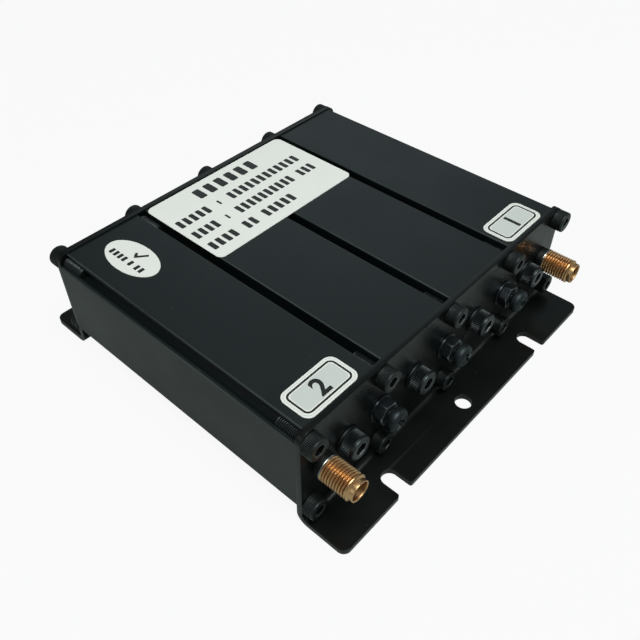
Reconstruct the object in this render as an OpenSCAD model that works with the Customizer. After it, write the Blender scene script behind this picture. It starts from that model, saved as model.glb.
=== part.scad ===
// Comb-line cavity filter: an extruded body with four cavities, closed by two bent end plates.
// X runs across the cavities, Y along them from front to rear, Z up from the flanges' underside.

/* [Body] */
// Width of the extrusion and of both end plates
body_w = 100.7; // [84:0.1:125]
// Length of the extrusion between the end plates
body_l = 78.2; // [60:0.1:160]
// Height of the extrusion over its top and bottom panels
body_h = 27.1; // [25:0.1:34]
// Outer side wall beside the cavities
side_wall = 2.37; // [1.8:0.01:3.5]
// Wall between two cavities
inner_wall = 4.6; // [4:0.1:6]
// Wall above and below the cavities
panel_wall = 1.8; // [1.4:0.1:2.6]
// Corner radius of a cavity
cavity_r = 8; // [6:0.1:8.1]
// Height of the coupling window in each inner wall
window_h = 12; // [6:0.1:13]
// Depth of the coupling window from the front end
window_l = 30; // [16:0.5:40]

/* [Screw channels] */
// Width of a channel in the top and bottom, which the screw threads bite into
channel_w = 2.6; // [2.4:0.05:2.8]
// Depth of a screw row below the top panels, and of the lower row above the bottom ones
row_inset = 2.69; // [2.5:0.01:2.9]
// Depth of a channel's floor below its screw row
channel_floor = 1.7; // [1.5:0.05:2.2]
// Distance of the corner screws from the side of the body
corner_inset = 2.45; // [2.2:0.01:2.7]

/* [End plates] */
// Thickness of the plate
plate_t = 1.6; // [1.2:0.1:2.5]
// How far the plate stands above the top panels
plate_proud = 0.39; // [0.2:0.01:1.5]
// Height of the bottom panels above the underside of the flanges
body_lift = 2.91; // [2.5:0.01:6]
// Reach of the flange beyond the plate's outer face
flange_reach = 12.05; // [10:0.05:25]
// Outer radius of the bend
bend_r = 3; // [2.6:0.1:4]
// Radius of the plate's upper corners
plate_corner_r = 2.8; // [1:0.1:4]
// Radius of the flange's corners
flange_corner_r = 2; // [1:0.1:3.5]
// Distance of the fixing holes from the plate's outer face
fixing_line = 7.6; // [5:0.1:9]
// Diameter of the round fixing hole and width of the fixing slots
fixing_d = 4.3; // [3.2:0.1:5.5]
// Distance of the fixing slots from the middle
slot_x = 29.4; // [18:0.1:40]
// Radius of the corners at the mouth of a slot
slot_mouth_r = 0.6; // [0.3:0.1:1.5]

/* [Cover screws] */
// Thread diameter
cover_d = 3; // [2.8:0.1:3.2]
// Length under the head
cover_l = 8; // [5:0.5:12]
// Head diameter
cover_head_d = 5.4; // [5:0.1:5.6]
// Head height
cover_head_h = 3; // [2:0.1:4]
// Width across the flats of the socket
cover_socket = 2.5; // [2:0.1:2.6]

/* [Resonators] */
// Diameter of a resonator rod
rod_d = 9; // [6:0.1:11]
// Free gap between a rod's open end and the rear plate
rod_gap = 10.2; // [4:0.1:20]
// Bore in the open end of a rod
rod_bore_d = 5.5; // [5:0.1:6.5]
// Depth of that bore
rod_bore_l = 20; // [10:0.5:24]
// Shift of the inner rods towards the middle, from the centre of their cavity
inner_rod_shift = 0.22; // [0:0.01:0.5]
// Shift of the outer rods towards the middle, to leave room for the connectors
outer_rod_shift = 1.5; // [0.5:0.01:2]
// Thread diameter of the resonator screws
rod_screw_d = 3.5; // [3:0.1:4]
// Length of a resonator screw under its head
rod_screw_l = 10; // [6:0.5:14]
// Head diameter of the resonator screws
rod_head_d = 6.05; // [5.5:0.05:7]
// Head height of the resonator screws
rod_head_h = 3.5; // [2.5:0.1:4.5]
// Width across the flats of the socket
rod_socket = 2.9; // [2.5:0.1:3]
// Outer diameter of the washer under the head
rod_washer_d = 6.8; // [6.4:0.1:8]
// Thickness of that washer
rod_washer_t = 0.6; // [0.3:0.1:1]

/* [Coupling screws] */
// Thread diameter
coupling_d = 3; // [2.5:0.1:3.2]
// Length under the head
coupling_l = 16; // [12:0.5:18]
// Head diameter
coupling_head_d = 6; // [5.4:0.1:6.4]
// Head height
coupling_head_h = 2.4; // [1.8:0.1:2.6]
// Free gap between the head and its lock nut
coupling_gap = 1; // [0.95:0.05:3]
// Lock nut across its flats
coupling_nut_af = 5.5; // [5.2:0.1:6]
// Lock nut height
coupling_nut_h = 2.4; // [1.8:0.1:2.6]
// Washer diameter
coupling_washer_d = 7; // [6:0.1:8]
// Washer thickness
coupling_washer_t = 0.5; // [0.3:0.1:0.8]

/* [Tuning screws] */
// Thread diameter
tuning_d = 4; // [3.5:0.1:4.2]
// Length of a tuning screw
tuning_l = 20; // [16:0.5:24]
// How far a tuning screw stands out of its lock nut
tuning_proud = 4.3; // [4.1:0.1:6]
// Lock nut across its flats
tuning_nut_af = 7; // [6.5:0.1:8]
// Lock nut height
tuning_nut_h = 3.2; // [2.4:0.1:4]

/* [Connectors] */
// Distance of a connector from the side of the body
connector_inset = 6.15; // [5.8:0.01:7]
// Thread diameter, which is also that of the plain stretch behind it
connector_thread_d = 6.35; // [6:0.01:6.4]
// End of the thread, from the plate's outer face
connector_thread_end = 9.3; // [8:0.1:11]
// Outer diameter of the plain nose
connector_nose_d = 5.35; // [5:0.05:5.8]
// End of the nose, from the plate's outer face
connector_end = 10.4; // [9:0.1:12.5]
// Diameter of the mouth
connector_mouth_d = 4.6; // [4.4:0.05:4.8]
// Depth of the mouth to the insulator
connector_mouth_l = 1.9; // [1:0.1:2.5]
// Diameter of the shank in the plate
connector_shank_d = 5.2; // [5:0.1:5.6]
// Outer diameter of the spacer between the plate and the thread
connector_spacer_d = 5.9; // [5.8:0.1:8]
// Length of that spacer
connector_spacer_l = 1.7; // [0.5:0.1:3]
// Insulator diameter
insulator_d = 4.1; // [3.8:0.05:4.2]
// Contact diameter
contact_d = 1.27; // [1.2:0.01:1.4]
// Hole in the contact for the mating pin
contact_hole_d = 0.94; // [0.9:0.01:0.98]
// Depth of the tap wire inside the front plate
tap_depth = 7; // [4:0.5:14]
// Tap wire diameter
tap_d = 0.9; // [0.6:0.1:1]

/* [Labels] */
// Thickness of the label film
label_t = 0.15; // [0.1:0.05:0.3]
// Main label across the body
main_label_w = 48.8; // [30:0.1:60]
// Main label along the body
main_label_l = 29; // [15:0.1:45]
// Corner radius of the main label
main_label_r = 1.5; // [0.5:0.1:4]
// How far the main label was stuck off the middle, to the right
main_label_shift = 0.2; // [-2:0.1:2]
// Gap between the main label and the rear plate
main_label_gap = 0.3; // [0:0.1:10]
// Port labels across the body
port_label_w = 16; // [10:0.1:17]
// Port labels along the body
port_label_l = 8.8; // [5:0.1:15]
// Corner radius of the port labels
port_label_r = 2.1; // [0.5:0.1:3]
// How far the output label was stuck off the middle of its panel, to the right
output_label_shift = -0.14; // [-2.5:0.01:2.5]
// How far the input label was stuck off the middle of its panel, to the right
input_label_shift = -2.2; // [-2.5:0.01:2.5]
// Gap between the port labels and the front plate
port_label_gap = 0.2; // [0:0.1:10]
// Oval sticker across the body
oval_w = 9.8; // [8:0.1:17]
// Oval sticker along the body
oval_l = 17.7; // [8:0.1:24]
// How far the oval sticker was stuck off the middle of its panel, to the right
oval_shift = -0.52; // [-2:0.01:2]
// Gap between the oval sticker and the rear plate
oval_gap = 4.3; // [0:0.05:20]

/* [Fits] */
// Radial clearance of a thread in its nut, plate or tapped hole
thread_fit = 0.05; // [0.02:0.01:0.1]
// Radial clearance of a screw in its plain hole
hole_fit = 0.2; // [0.1:0.05:0.4]
// Radial clearance of an insulator, contact or shank in its seat
seat_fit = 0.03; // [0.01:0.01:0.05]

/* [Hidden] */
$fn = 48;
// Length by which a cut runs past what it cuts
slack = 1;
// Width of the chamfer on a head, a nut or a screw's tip
rim = 0.45;
// Length by which a shank runs into its head
sink = 0.25;
// How far each lock nut happened to be turned when it was tightened
coupling_nut_turn = [20, 30, 12];
// How far each coupling screw's cross recess is turned
coupling_recess_turn = [35, 12, 50];
tuning_nut_turn = [17, 34, 51, 8];
cavity_pitch = (body_w - 2 * side_wall + inner_wall) / 4;
cavity_w = cavity_pitch - inner_wall;
cavity_h = body_h - 2 * panel_wall;
corner_x = body_w / 2 - corner_inset;
column_x = [-corner_x, -cavity_pitch, 0, cavity_pitch, corner_x];
wall_x = [-cavity_pitch, 0, cavity_pitch];
outer_cavity_x = 1.5 * cavity_pitch;
outer_rod_x = outer_cavity_x - outer_rod_shift;
inner_rod_x = 0.5 * cavity_pitch - inner_rod_shift;
rod_l = body_l - rod_gap;
rod_x = [-outer_rod_x, -inner_rod_x, inner_rod_x, outer_rod_x];
connector_x = body_w / 2 - connector_inset;
axis_z = body_lift + body_h / 2;
row_offset = body_h / 2 - row_inset;
top_row = axis_z + row_offset;
bottom_row = axis_z - row_offset;
panel_top = axis_z + body_h / 2;
plate_h = panel_top + plate_proud;
inner_face = body_l / 2;
outer_face = inner_face + plate_t;

// Places its children at x, z on the front plate's outer face, with their +Z pointing out of it
module on_front(x, z) {
    translate([x, -outer_face, z]) rotate([90, 0, 0]) children();
}

// The same on the rear plate's outer face
module on_rear(x, z) {
    translate([x, outer_face, z]) rotate([-90, 0, 0]) children();
}

// A round bar along +Z from z0 to z1
module bar(d, z0, z1) {
    translate([0, 0, z0]) cylinder(d = d, h = z1 - z0);
}

// A flat ring along +Z from z0 to z1
module ring(outer_d, inner_d, z0, z1) {
    difference() {
        bar(outer_d, z0, z1);
        bar(inner_d, z0 - slack, z1 + slack);
    }
}

// A hexagonal bar along +Z, measured across its flats
module hex_bar(af, z0, z1) {
    translate([0, 0, z0]) cylinder(d = af / cos(30), h = z1 - z0, $fn = 6);
}

// A round bar whose outer end has a chamfered rim
module rimmed_bar(d, z0, z1, c) {
    rotate_extrude() polygon([[0, z0], [d / 2, z0], [d / 2, z1 - c], [d / 2 - c, z1], [0, z1]]);
}

// A socket cap screw: the underside of its head is at z = 0
module cap_screw(head_d, head_h, socket, d, length) {
    difference() {
        rimmed_bar(head_d, 0, head_h, rim);
        hex_bar(socket, head_h / 2, head_h + slack);
    }
    rotate([180, 0, 0]) rimmed_bar(d, -sink, length, rim);
}

// Hex nut with chamfered corners, standing on z = 0
module hex_nut(af, height, bore) {
    corner = af / cos(30) / 2;
    chamfer_h = rim * tan(30);
    difference() {
        intersection() {
            hex_bar(af, 0, height);
            rotate_extrude() polygon([[0, 0], [corner - rim, 0], [corner, chamfer_h],
                [corner, height - chamfer_h], [corner - rim, height], [0, height]]);
        }
        bar(bore, -slack, height + slack);
    }
}

module cavity_outline() {
    core_x = cavity_w / 2 - cavity_r;
    core_z = cavity_h / 2 - cavity_r;
    square([2 * core_x, cavity_h], center = true);
    square([cavity_w, 2 * core_z], center = true);
    for (x = [-core_x, core_x], z = [-core_z, core_z]) translate([x, z]) circle(r = cavity_r);
}

// Cross-section of the extrusion: panels, lower outer lips, channels and cavities
module body_section() {
    difference() {
        union() {
            square([2 * corner_x, body_h], center = true);
            square([body_w, 2 * row_offset], center = true);
        }
        for (x = wall_x, side = [-1, 1]) {
            translate([x, side * (row_offset - channel_floor + body_h / 2)])
                square([channel_w, body_h], center = true);
        }
        for (x = [-corner_x, corner_x], z = [-row_offset, row_offset])
            translate([x, z]) circle(d = channel_w);
        for (i = [-1.5, -0.5, 0.5, 1.5]) translate([i * cavity_pitch, 0]) cavity_outline();
    }
}

module cavity_body() {
    thread_l = cover_l - plate_t + slack;
    color("#2b2f2e") difference() {
        translate([0, 0, axis_z]) rotate([90, 0, 0])
            linear_extrude(height = body_l, center = true) body_section();
        for (x = wall_x) translate([x, -inner_face + window_l / 2 - slack, axis_z])
            cube([inner_wall + 2 * slack, window_l + 2 * slack, window_h], center = true);
        for (x = column_x, z = [bottom_row, top_row]) {
            on_front(x, z) bar(cover_d + 2 * thread_fit, -plate_t - thread_l, slack);
            on_rear(x, z) bar(cover_d + 2 * thread_fit, -plate_t - thread_l, slack);
        }
    }
}

// Bent section of an end plate, with its inner face on the Y axis and its flange towards +X
module plate_section() {
    translate([0, bend_r]) square([plate_t, plate_h - bend_r]);
    translate([bend_r, 0]) square([plate_t + flange_reach - bend_r, plate_t]);
    intersection() {
        translate([bend_r, bend_r]) difference() {
            circle(r = bend_r);
            circle(r = bend_r - plate_t);
        }
        square(bend_r);
    }
}

// What a rounded corner loses: a square with a quarter circle left out of it
module corner_waste(r) {
    linear_extrude(height = plate_t + 2 * slack, center = true) difference() {
        square(r + slack);
        circle(r = r);
    }
}

// End plate without its holes, at the rear of the body
module blank_plate() {
    tip = outer_face + flange_reach;
    difference() {
        translate([-body_w / 2, inner_face, 0]) rotate([90, 0, 90])
            linear_extrude(height = body_w) plate_section();
        for (side = [-1, 1]) {
            translate([side * (body_w / 2 - plate_corner_r), inner_face + plate_t / 2,
                plate_h - plate_corner_r])
                rotate([90, 0, 0]) scale([side, 1, 1]) corner_waste(plate_corner_r);
            translate([side * (body_w / 2 - flange_corner_r), tip - flange_corner_r, plate_t / 2])
                scale([side, 1, 1]) corner_waste(flange_corner_r);
        }
        translate([0, outer_face + fixing_line, 0]) bar(fixing_d, -slack, plate_t + slack);
        for (x = [-slot_x, slot_x]) translate([x, outer_face + fixing_line, -slack]) {
            cylinder(d = fixing_d, h = plate_t + 2 * slack);
            translate([-fixing_d / 2, 0, 0]) cube([fixing_d, flange_reach, plate_t + 2 * slack]);
        }
        for (x = [-slot_x, slot_x], side = [-1, 1])
            translate([x + side * (fixing_d / 2 + slot_mouth_r), tip - slot_mouth_r, plate_t / 2])
                scale([-side, 1, 1]) corner_waste(slot_mouth_r);
        for (x = column_x, z = [bottom_row, top_row])
            on_rear(x, z) bar(cover_d + 2 * hole_fit, -plate_t - slack, slack);
    }
}

module front_end_plate() {
    color("#1e2422") difference() {
        mirror([0, 1, 0]) blank_plate();
        for (x = rod_x)
            on_front(x, axis_z) bar(rod_screw_d + 2 * hole_fit, -plate_t - slack, slack);
        for (x = wall_x)
            on_front(x, axis_z) bar(coupling_d + 2 * thread_fit, -plate_t - slack, slack);
        for (x = [-connector_x, connector_x])
            on_front(x, axis_z) bar(connector_shank_d + 2 * seat_fit, -plate_t - slack, slack);
    }
}

module rear_end_plate() {
    color("#1e2422") difference() {
        blank_plate();
        for (x = rod_x)
            on_rear(x, axis_z) bar(tuning_d + 2 * thread_fit, -plate_t - slack, slack);
    }
}

module cover_screw() {
    cap_screw(cover_head_d, cover_head_h, cover_socket, cover_d, cover_l);
}

module front_top_screws() {
    color("#26292b") for (x = column_x) on_front(x, top_row) cover_screw();
}

module front_bottom_screws() {
    color("#26292b") for (x = column_x) on_front(x, bottom_row) cover_screw();
}

module rear_top_screws() {
    color("#26292b") for (x = column_x) on_rear(x, top_row) cover_screw();
}

module rear_bottom_screws() {
    color("#26292b") for (x = column_x) on_rear(x, bottom_row) cover_screw();
}

// Resonator rod: tapped at the front for its screw, bored at its open rear end
module resonator_rod(i) {
    open_end = -plate_t - rod_l;
    color("#c9c9c4") on_front(rod_x[i - 1], axis_z) difference() {
        bar(rod_d, open_end, -plate_t);
        bar(rod_screw_d + 2 * thread_fit, rod_washer_t - rod_screw_l - slack, slack);
        bar(rod_bore_d, open_end - slack, open_end + rod_bore_l);
        if (i == 1 || i == 4) translate([0, 0, -plate_t - tap_depth]) rotate([0, 90, 0])
            bar(tap_d + 2 * seat_fit, i == 1 ? -rod_d : rod_d / 2 - slack,
                i == 1 ? slack - rod_d / 2 : rod_d);
    }
}

module resonator_rod_1() { resonator_rod(1); }
module resonator_rod_2() { resonator_rod(2); }
module resonator_rod_3() { resonator_rod(3); }
module resonator_rod_4() { resonator_rod(4); }

module resonator_screws() {
    color("#1b1c1e") for (x = rod_x) on_front(x, axis_z) translate([0, 0, rod_washer_t])
        cap_screw(rod_head_d, rod_head_h, rod_socket, rod_screw_d, rod_screw_l);
}

module resonator_washers() {
    color("#8a8d8f") for (x = rod_x) on_front(x, axis_z)
        ring(rod_washer_d, rod_screw_d + 2 * hole_fit, 0, rod_washer_t);
}

// Coupling screw: a pan head with a cross recess, standing a gap above its lock nut
module coupling_screw(i) {
    under_head = coupling_washer_t + coupling_nut_h + coupling_gap;
    r = coupling_head_d / 2;
    h = coupling_head_h;
    recess_l = 0.55 * coupling_head_d;
    recess_w = 0.14 * coupling_head_d;
    dome_h = 0.45 * h;
    shoulder = 0.45 * dome_h;
    crown = 1.1 * dome_h;
    color("#33373a") on_front(wall_x[i - 1], axis_z) translate([0, 0, under_head]) {
        difference() {
            rotate_extrude() polygon([[0, 0], [r - rim / 2, 0], [r, rim / 2], [r, h - dome_h],
                [r - shoulder, h - shoulder], [r - crown, h], [0, h]]);
            for (a = [0, 90]) rotate([0, 0, a + coupling_recess_turn[i - 1]]) translate([0, 0, h])
                cube([recess_l, recess_w, h], center = true);
        }
        rotate([180, 0, 0]) rimmed_bar(coupling_d, -sink, coupling_l, rim);
    }
}

module coupling_screw_1() { coupling_screw(1); }
module coupling_screw_2() { coupling_screw(2); }
module coupling_screw_3() { coupling_screw(3); }

module coupling_lock_nut(i) {
    color("#2c3033") on_front(wall_x[i - 1], axis_z) translate([0, 0, coupling_washer_t])
        rotate([0, 0, coupling_nut_turn[i - 1]])
            hex_nut(coupling_nut_af, coupling_nut_h, coupling_d + 2 * thread_fit);
}

module coupling_lock_nut_1() { coupling_lock_nut(1); }
module coupling_lock_nut_2() { coupling_lock_nut(2); }
module coupling_lock_nut_3() { coupling_lock_nut(3); }

module coupling_washers() {
    color("#3a3f42") for (x = wall_x) on_front(x, axis_z)
        ring(coupling_washer_d, coupling_d + 2 * hole_fit, 0, coupling_washer_t);
}

// Tuning screw: a slotted set screw that dips into the open end of its rod
module tuning_screw(i) {
    outer_end = tuning_nut_h + tuning_proud;
    slot_w = 0.2 * tuning_d;
    slot_l = 0.6 * tuning_d;
    color("#b9bcbd") on_rear(rod_x[i - 1], axis_z) difference() {
        translate([0, 0, outer_end - tuning_l]) rimmed_bar(tuning_d, 0, tuning_l, rim);
        translate([0, 0, outer_end]) cube([2 * tuning_d, slot_w, slot_l], center = true);
    }
}

module tuning_screw_1() { tuning_screw(1); }
module tuning_screw_2() { tuning_screw(2); }
module tuning_screw_3() { tuning_screw(3); }
module tuning_screw_4() { tuning_screw(4); }

module tuning_lock_nut(i) {
    color("#2c3033") on_rear(rod_x[i - 1], axis_z)
        rotate([0, 0, tuning_nut_turn[i - 1]])
            hex_nut(tuning_nut_af, tuning_nut_h, tuning_d + 2 * thread_fit);
}

module tuning_lock_nut_1() { tuning_lock_nut(1); }
module tuning_lock_nut_2() { tuning_lock_nut(2); }
module tuning_lock_nut_3() { tuning_lock_nut(3); }
module tuning_lock_nut_4() { tuning_lock_nut(4); }

// Turned connector body: shank through the plate, threaded barrel and plain nose
module connector_body(x) {
    bore = insulator_d / 2 + seat_fit;
    mouth = connector_mouth_d / 2;
    shank = connector_shank_d / 2;
    barrel = connector_thread_d / 2;
    nose = connector_nose_d / 2;
    face = connector_end - connector_mouth_l;
    nose_edge = 0.1;
    color("#c98a3c") on_front(x, axis_z) rotate_extrude() polygon([
        [bore, -plate_t], [shank, -plate_t], [shank, connector_spacer_l],
        [barrel, connector_spacer_l], [barrel, connector_thread_end - rim],
        [nose, connector_thread_end], [nose, connector_end - nose_edge],
        [nose - nose_edge, connector_end], [mouth, connector_end], [mouth, face], [bore, face]]);
}

module output_connector_body() { connector_body(-connector_x); }
module input_connector_body() { connector_body(connector_x); }

module connector_spacers() {
    color("#9a9a94") for (x = [-connector_x, connector_x]) on_front(x, axis_z)
        ring(connector_spacer_d, connector_shank_d + 2 * seat_fit, 0, connector_spacer_l);
}

module insulator(x) {
    color("#e9e4d6") on_front(x, axis_z)
        ring(insulator_d, contact_d + 2 * seat_fit, -plate_t, connector_end - connector_mouth_l);
}

module output_insulator() { insulator(-connector_x); }
module input_insulator() { insulator(connector_x); }

// Centre contact: split socket at the front, plain tail in the cavity
module contact(x) {
    face = connector_end - connector_mouth_l;
    tail = -plate_t - tap_depth - tap_d;
    split_w = 0.16;
    split_l = 2.2;
    color("#d8a042") on_front(x, axis_z) difference() {
        bar(contact_d, tail, face);
        bar(contact_hole_d, face - split_l - slack, face + slack);
        for (a = [0, 90]) rotate([0, 0, a]) translate([0, 0, face])
            cube([2 * contact_d, split_w, 2 * split_l], center = true);
    }
}

module output_contact() { contact(-connector_x); }
module input_contact() { contact(connector_x); }

// Tap wire from the contact's tail into the side of the outer rod; side is -1 or 1
module tap_wire(side) {
    start = outer_rod_x + rod_d / 2 - slack + seat_fit;
    color("#c8873f") translate([0, tap_depth - inner_face, axis_z])
        difference() {
            rotate([0, side * 90, 0]) bar(tap_d, start, connector_x);
            translate([side * connector_x, 0, 0]) rotate([90, 0, 0])
                cylinder(d = contact_d + 2 * seat_fit, h = 2 * tap_depth, center = true);
        }
}

module output_tap_wire() { tap_wire(-1); }
module input_tap_wire() { tap_wire(1); }

// A film label with rounded corners on the top panels
module label(x, y, w, l, r) {
    translate([x, y, panel_top]) linear_extrude(height = label_t) {
        square([w - 2 * r, l], center = true);
        square([w, l - 2 * r], center = true);
        for (i = [-1, 1], j = [-1, 1])
            translate([i * (w / 2 - r), j * (l / 2 - r)]) circle(r = r);
    }
}

module main_label() {
    y = inner_face - main_label_gap - main_label_l / 2;
    color("#e8e6dd") label(main_label_shift, y, main_label_w, main_label_l, main_label_r);
}

// side is -1 at the output and 1 at the input
module port_label(side, shift) {
    x = side * outer_cavity_x + shift;
    y = port_label_gap + port_label_l / 2 - inner_face;
    color("#e8e6dd") label(x, y, port_label_w, port_label_l, port_label_r);
}

module output_label() { port_label(-1, output_label_shift); }
module input_label() { port_label(1, input_label_shift); }

module inspection_sticker() {
    step = 360 / $fn;
    points = [for (a = [0:step:360 - step]) [oval_w / 2 * cos(a), oval_l / 2 * sin(a)]];
    y = inner_face - oval_gap - oval_l / 2;
    color("#dfe0d8") translate([oval_shift - outer_cavity_x, y, panel_top])
        linear_extrude(height = label_t) polygon(points);
}

cavity_body();
front_end_plate();
rear_end_plate();
front_top_screws();
front_bottom_screws();
rear_top_screws();
rear_bottom_screws();
resonator_rod_1();
resonator_rod_2();
resonator_rod_3();
resonator_rod_4();
resonator_screws();
resonator_washers();
coupling_screw_1();
coupling_screw_2();
coupling_screw_3();
coupling_lock_nut_1();
coupling_lock_nut_2();
coupling_lock_nut_3();
coupling_washers();
tuning_screw_1();
tuning_screw_2();
tuning_screw_3();
tuning_screw_4();
tuning_lock_nut_1();
tuning_lock_nut_2();
tuning_lock_nut_3();
tuning_lock_nut_4();
output_connector_body();
input_connector_body();
connector_spacers();
output_insulator();
input_insulator();
output_contact();
input_contact();
output_tap_wire();
input_tap_wire();
main_label();
output_label();
input_label();
inspection_sticker();
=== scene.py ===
import math

import bmesh
import bpy
from mathutils import Matrix, Vector


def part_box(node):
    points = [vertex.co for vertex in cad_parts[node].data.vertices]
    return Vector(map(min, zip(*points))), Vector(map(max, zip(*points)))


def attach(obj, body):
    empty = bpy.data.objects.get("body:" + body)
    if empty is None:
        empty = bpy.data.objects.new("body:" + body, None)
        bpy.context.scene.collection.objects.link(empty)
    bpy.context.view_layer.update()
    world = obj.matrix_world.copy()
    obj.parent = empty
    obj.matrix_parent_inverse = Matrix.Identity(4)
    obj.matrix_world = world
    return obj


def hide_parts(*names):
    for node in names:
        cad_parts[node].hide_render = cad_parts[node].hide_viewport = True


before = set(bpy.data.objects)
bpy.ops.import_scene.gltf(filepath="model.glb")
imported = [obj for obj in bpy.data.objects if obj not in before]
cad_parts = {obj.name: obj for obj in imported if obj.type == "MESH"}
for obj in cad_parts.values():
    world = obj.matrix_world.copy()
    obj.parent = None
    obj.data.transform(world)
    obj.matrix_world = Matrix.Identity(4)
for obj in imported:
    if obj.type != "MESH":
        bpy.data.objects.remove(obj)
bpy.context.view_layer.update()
MM = 0.001


# Camera: the place from which the filter was photographed, close above its output corner.
# It is given as a turn, a height and a distance from the foot of the front plate.

def centre(node):
    low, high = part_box(node)
    return (low + high) / 2


front_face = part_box("coupling_washers")[1].y
bottom_row_z = centre("front_bottom_screws").z


def aim_camera():
    azimuth = math.radians(-47.902)
    elevation = math.radians(44.752)
    roll = math.radians(-0.122)
    distance = 177.417 * MM
    aside = -29.894 * MM
    above = 13.803 * MM
    focal_share = 712.509 / 640
    back = Vector((math.sin(azimuth) * math.cos(elevation), -math.cos(azimuth) * math.cos(elevation),
                   math.sin(elevation)))
    level_right = Vector((0, 0, 1)).cross(back).normalized()
    level_up = back.cross(level_right)
    right = level_right * math.cos(roll) + level_up * math.sin(roll)
    up = level_up * math.cos(roll) - level_right * math.sin(roll)
    foot = Vector((0, front_face, bottom_row_z))
    place = foot + back * distance + right * aside + up * above
    data = bpy.data.cameras.new("camera")
    data.sensor_width = 36
    data.lens = focal_share * data.sensor_width
    data.clip_start = 0.01
    camera = bpy.data.objects.new("camera", data)
    turn = Matrix((right, up, back)).transposed().to_4x4()
    camera.matrix_world = Matrix.Translation(place) @ turn
    bpy.context.scene.collection.objects.link(camera)
    bpy.context.scene.camera = camera


aim_camera()


# Studio: a white table, a pale room and large soft lamps. The strongest light comes from behind
# on the left, so the left side is the brightest of the black faces and the front is the darkest.

def srgb(hex_text):
    """A colour written as rrggbb, as the linear colour that sockets take."""
    parts = [int(hex_text[i:i + 2], 16) / 255 for i in (0, 2, 4)]
    linear = [p / 12.92 if p <= 0.04045 else ((p + 0.055) / 1.055) ** 2.4 for p in parts]
    return (*linear, 1.0)


def add_node(tree, kind, sockets=None, **settings):
    """Adds a node, sets its properties, and fills its inputs with values or links."""
    node = tree.nodes.new(kind)
    for name, value in settings.items():
        setattr(node, name, value)
    for key, value in (sockets or {}).items():
        if isinstance(value, bpy.types.NodeSocket):
            tree.links.new(value, node.inputs[key])
        else:
            node.inputs[key].default_value = value
    return node


def new_material(name):
    material = bpy.data.materials.new(name)
    material.use_nodes = True
    material.node_tree.nodes.clear()
    return material, material.node_tree


def show_surface(tree, shader):
    add_node(tree, "ShaderNodeOutputMaterial", {"Surface": shader.outputs[0]})


def make_studio():
    world = bpy.data.worlds.new("room")
    bpy.context.scene.world = world
    world.use_nodes = True
    tree = world.node_tree
    tree.nodes.clear()
    path = add_node(tree, "ShaderNodeLightPath")
    lit = add_node(tree, "ShaderNodeBackground", {"Color": srgb("e6f0ee"), "Strength": 0.12})
    seen = add_node(tree, "ShaderNodeBackground", {"Color": srgb("ffffff"), "Strength": 1.0})
    pick = add_node(tree, "ShaderNodeMixShader", {0: path.outputs["Is Camera Ray"],
                                                  1: lit.outputs[0], 2: seen.outputs[0]})
    add_node(tree, "ShaderNodeOutputWorld", {"Surface": pick.outputs[0]})

    material, tree = new_material("white_table")
    path = add_node(tree, "ShaderNodeLightPath")
    grain = add_node(tree, "ShaderNodeTexNoise", {"Scale": 9.0, "Detail": 3.0})
    tone = add_node(tree, "ShaderNodeMix", {0: grain.outputs[0], 6: srgb("a4aaa8"), 7: srgb("acb2b0")},
                    data_type="RGBA")
    paper = add_node(tree, "ShaderNodeBsdfDiffuse", {"Color": tone.outputs[2]})
    glow = add_node(tree, "ShaderNodeEmission", {"Color": srgb("ffffff"), "Strength": 1.0})
    share = add_node(tree, "ShaderNodeMath", {0: path.outputs["Is Camera Ray"], 1: 0.92},
                     operation="MULTIPLY")
    mix = add_node(tree, "ShaderNodeMixShader", {0: share.outputs[0], 1: paper.outputs[0],
                                                 2: glow.outputs[0]})
    show_surface(tree, mix)
    size = 1.6
    mesh = bpy.data.meshes.new("table")
    corners = [(-size, -size, 0), (size, -size, 0), (size, size, 0), (-size, size, 0)]
    mesh.from_pydata(corners, [], [(0, 1, 2, 3)])
    mesh.materials.append(material)
    table = bpy.data.objects.new("table", mesh)
    bpy.context.scene.collection.objects.link(table)


def add_lamp(name, place, size, power, tint):
    data = bpy.data.lights.new(name, "AREA")
    data.shape = "RECTANGLE"
    data.size = size[0]
    data.size_y = size[1]
    data.energy = power
    data.color = srgb(tint)[:3]
    lamp = bpy.data.objects.new(name, data)
    lamp.location = place
    lamp.rotation_euler = (-Vector(place)).to_track_quat("-Z", "Y").to_euler()
    bpy.context.scene.collection.objects.link(lamp)


make_studio()
add_lamp("lamp_key", (-0.12, -0.30, 0.82), (0.50, 0.50), 7.55, "f4fbf8")
add_lamp("lamp_left", (-0.60, 0.15, 0.30), (0.40, 0.30), 0.3, "f0fbf7")
add_lamp("lamp_rear_right", (0.50, 0.45, 0.50), (0.60, 0.40), 0.45, "eafaff")
add_lamp("lamp_right", (0.55, -0.45, 0.30), (0.40, 0.30), 0.5, "fbfdff")


# Extruded body: one aluminium extrusion with four cavities, cut to length, its windows milled in
# the inner walls, then blasted and anodised black. Its channels hold the screws of the end plates.

middle_z = centre("resonator_rod_1").z
top_row_z = centre("front_top_screws").z
edge_r = 0.32 * MM


def rounded_corner(before, corner, after, radius, steps=4):
    """Points of the arc that rounds one corner of a path."""
    a = (before - corner).normalized()
    b = (after - corner).normalized()
    half = a.angle(b) / 2
    reach = radius / math.tan(half)
    middle = corner + (a + b).normalized() * radius / math.sin(half)
    start = corner + a * reach - middle
    end = corner + b * reach - middle
    swing = start.angle_signed(end)
    return [middle + Matrix.Rotation(-swing * i / steps, 2) @ start for i in range(steps + 1)]


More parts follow.
